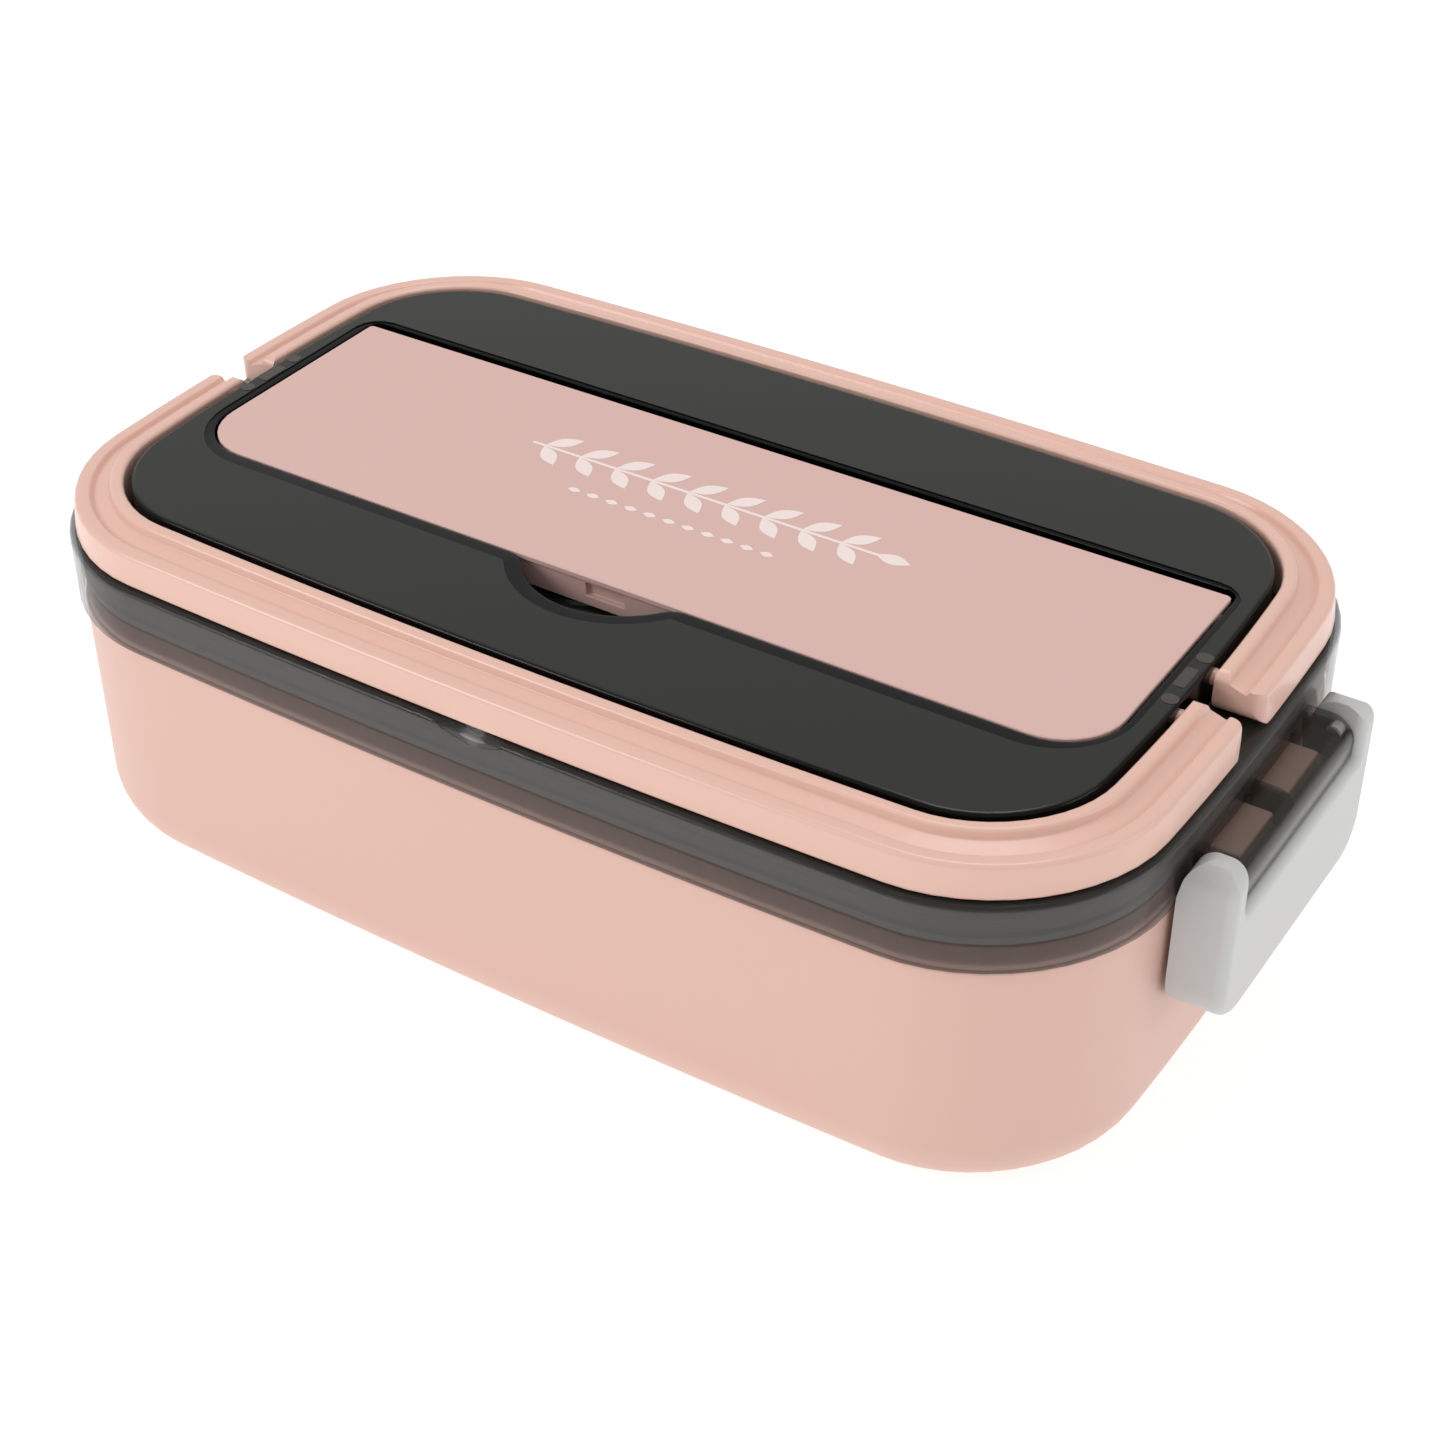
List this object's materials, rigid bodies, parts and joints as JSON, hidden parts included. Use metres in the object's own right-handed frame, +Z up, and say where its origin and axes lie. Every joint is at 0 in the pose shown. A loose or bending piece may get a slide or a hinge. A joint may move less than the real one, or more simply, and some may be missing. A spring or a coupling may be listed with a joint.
{
  "type": "bento lunch box",
  "caption": "Rounded two-tone lunch box: tub with sealed clip-on lid, cutlery well under a hinged cover, folding carry handle halves and end latches.",
  "frame": {"origin": "centre of the whole box's footprint, on the surface it stands on", "axes": "+X along the long side towards one latch, +Y towards the hinge of the cover, +Z up"},
  "size_m": [0.247, 0.135, 0.0736],
  "materials": {
    "tub_pink": "fine satin moulded plastic",
    "divider_pink": "fine satin moulded plastic",
    "lid_smoke": "polished smoky see-through plastic",
    "seal_silicone": "soft milky silicone",
    "cover_rose": "matte moulded plastic with a pale print",
    "handle_pink": "smooth glossy moulded plastic",
    "latch_grey": "smooth pale grey moulded plastic",
    "cutlery_pink": "smooth moulded plastic"
  },
  "bodies": {
    "tub": {"tub": "tub_pink", "divider": "divider_pink"},
    "lid": {"lid_shell": "lid_smoke", "seal_ring": "seal_silicone", "spoon": "cutlery_pink", "fork": "cutlery_pink"},
    "cover": {"cover": "cover_rose"},
    "front_handle": {"front_handle": "handle_pink"},
    "rear_handle": {"rear_handle": "handle_pink"},
    "latch_right": {"latch_right": "latch_grey"},
    "latch_left": {"latch_left": "latch_grey"}
  },
  "joints": [
    {"name": "lid_lift", "type": "slide", "parent": "tub", "child": "lid", "axis": [0, 0, 1], "range_m": [0, 0.09]},
    {"name": "cover_hinge", "type": "hinge", "parent": "lid", "child": "cover", "pos_m": [0, 0.0226, 0.0706], "axis": [-1, 0, 0], "range_deg": [0, 105]},
    {"name": "front_handle_fold", "type": "hinge", "parent": "lid", "child": "front_handle", "pos_m": [0, -0.007, 0.0705], "axis": [-1, 0, 0], "range_deg": [0, 94]},
    {"name": "rear_handle_fold", "type": "hinge", "parent": "lid", "child": "rear_handle", "pos_m": [0, 0.007, 0.0705], "axis": [1, 0, 0], "range_deg": [0, 94]},
    {"name": "latch_right_swing", "type": "hinge", "parent": "lid", "child": "latch_right", "pos_m": [0.1187, 0, 0.0562], "axis": [0, -1, 0], "range_deg": [0, 105]},
    {"name": "latch_left_swing", "type": "hinge", "parent": "lid", "child": "latch_left", "pos_m": [-0.1187, 0, 0.0562], "axis": [0, 1, 0], "range_deg": [0, 105]}
  ]
}
